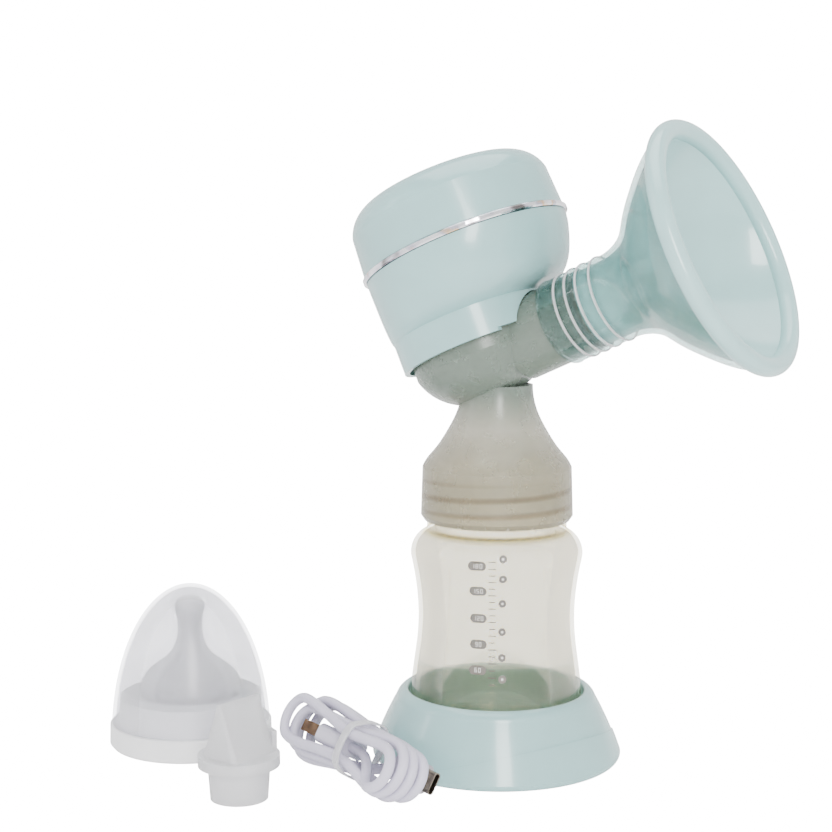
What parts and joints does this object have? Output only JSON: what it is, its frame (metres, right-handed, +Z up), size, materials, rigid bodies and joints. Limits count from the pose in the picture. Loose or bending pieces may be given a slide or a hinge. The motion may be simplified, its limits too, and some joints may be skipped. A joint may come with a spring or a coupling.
{
  "type": "electric breast pump",
  "caption": "Handheld electric breast pump: leaning motor head over a milky connector, angled funnel, clear bottle in a mint stand, with teat, spare valve and tied cable.",
  "frame": {"origin": "centre of the stand on the table, on the axis of the bottle", "axes": "+Z up along the bottle, +X towards the breast funnel, symmetric pump about the XZ plane"},
  "size_m": [0.2608, 0.1571, 0.2453],
  "materials": {
    "mint_plastic": "smooth gloss, pale mint",
    "milky_plastic": "milky translucent polypropylene",
    "bottle_clear": "clear, faintly amber",
    "mint_silicone": "soft satin mint silicone",
    "clear_silicone": "translucent silicone",
    "frosted_plastic": "frosted translucent",
    "white_plastic": "white satin",
    "ring_chrome": "mirror-bright",
    "dark_window": "dark tinted gloss",
    "board_green": "solder-mask green",
    "steel": "plain bright",
    "battery_wrap": "heat-shrink wrap",
    "coil_copper": "enamelled copper",
    "cable_jacket": "soft pale lilac-white",
    "foot_rubber": "soft grey"
  },
  "bodies": {
    "stand": {"stand_shell": "mint_plastic", "stand_base_plate": "mint_plastic", "stand_pad": "foot_rubber"},
    "connector": {"connector_body": "milky_plastic", "bottle_seal": "clear_silicone", "diaphragm": "mint_silicone", "duckbill_valve": "mint_silicone"},
    "bottle": {"bottle_shell": "bottle_clear"},
    "funnel": {"flange_horn": "milky_plastic", "flange_liner": "mint_silicone"},
    "head": {"lower_housing": "mint_plastic", "top_cover": "mint_plastic", "chrome_ring": "ring_chrome", "display_window": "dark_window", "display_board": "board_green", "main_board": "board_green", "board_screws": "steel", "battery": "battery_wrap", "usb_c_socket": "steel", "motor_can": "steel", "pump_cage": "white_plastic", "pump_head": "white_plastic", "suction_plate": "white_plastic", "head_seal": "clear_silicone", "suction_hose": "clear_silicone", "release_valve_coil": "coil_copper"},
    "crankshaft": {"motor_shaft": "steel", "crank": "white_plastic"},
    "piston": {"pump_piston": "white_plastic"},
    "release_plunger": {"release_valve_plunger": "steel"},
    "mode_button": {"button_mode": "mint_plastic"},
    "level_down_button": {"button_level_down": "mint_plastic"},
    "level_up_button": {"button_level_up": "mint_plastic"},
    "power_button": {"button_power": "mint_plastic"},
    "teat_set": {"teat_ring": "white_plastic", "teat": "clear_silicone"},
    "travel_cap": {"teat_cap": "frosted_plastic"},
    "loose_valve": {"spare_valve": "clear_silicone"},
    "charging_cable": {"cable_hank": "cable_jacket", "cable_tie": "clear_silicone", "usb_a_plug": "cable_jacket", "usb_c_plug": "cable_jacket"}
  },
  "joints": [
    {"name": "lift_out_of_stand", "type": "slide", "parent": "stand", "child": "connector", "axis": [0, 0, 1], "range_m": [0, 0.06]},
    {"name": "bottle_unscrew", "type": "hinge", "parent": "connector", "child": "bottle", "pos_m": [0, 0, 0.1], "axis": [0, 0, 1], "range_deg": [0, 360]},
    {"name": "funnel_pull_off", "type": "slide", "parent": "connector", "child": "funnel", "axis": [0.9135, 0, 0.4067], "range_m": [0, 0.03]},
    {"name": "head_lift_off", "type": "slide", "parent": "connector", "child": "head", "axis": [-0.4067, 0, 0.9135], "range_m": [0, 0.03]},
    {"name": "motor_spin", "type": "hinge", "parent": "head", "child": "crankshaft", "pos_m": [-0.00789, 0.002, 0.19204], "axis": [0, 1, 0], "continuous": true},
    {"name": "piston_stroke", "type": "slide", "parent": "head", "child": "piston", "axis": [0.9135, 0, 0.4067], "range_m": [-0.0009, 0.0009]},
    {"name": "release_valve_stroke", "type": "slide", "parent": "head", "child": "release_plunger", "axis": [0, 1, 0], "range_m": [0, 0.0012], "stiffness_N_per_m": 60},
    {"name": "mode_press", "type": "slide", "parent": "head", "child": "mode_button", "axis": [0.4067, 0, -0.9135], "range_m": [0, 0.0005], "stiffness_N_per_m": 600},
    {"name": "level_down_press", "type": "slide", "parent": "head", "child": "level_down_button", "axis": [0.4067, 0, -0.9135], "range_m": [0, 0.0005], "stiffness_N_per_m": 600},
    {"name": "level_up_press", "type": "slide", "parent": "head", "child": "level_up_button", "axis": [0.4067, 0, -0.9135], "range_m": [0, 0.0005], "stiffness_N_per_m": 600},
    {"name": "power_press", "type": "slide", "parent": "head", "child": "power_button", "axis": [0.4067, 0, -0.9135], "range_m": [0, 0.0005], "stiffness_N_per_m": 600},
    {"name": "teat_set_lift", "type": "slide", "parent": "stand", "child": "teat_set", "axis": [0, 0, 1], "range_m": [0, 0.05]},
    {"name": "travel_cap_lift", "type": "slide", "parent": "teat_set", "child": "travel_cap", "axis": [0, 0, 1], "range_m": [0, 0.04]},
    {"name": "loose_valve_lift", "type": "slide", "parent": "stand", "child": "loose_valve", "axis": [0, 0, 1], "range_m": [0, 0.05]},
    {"name": "cable_lift", "type": "slide", "parent": "stand", "child": "charging_cable", "axis": [0, 0, 1], "range_m": [0, 0.05]}
  ]
}
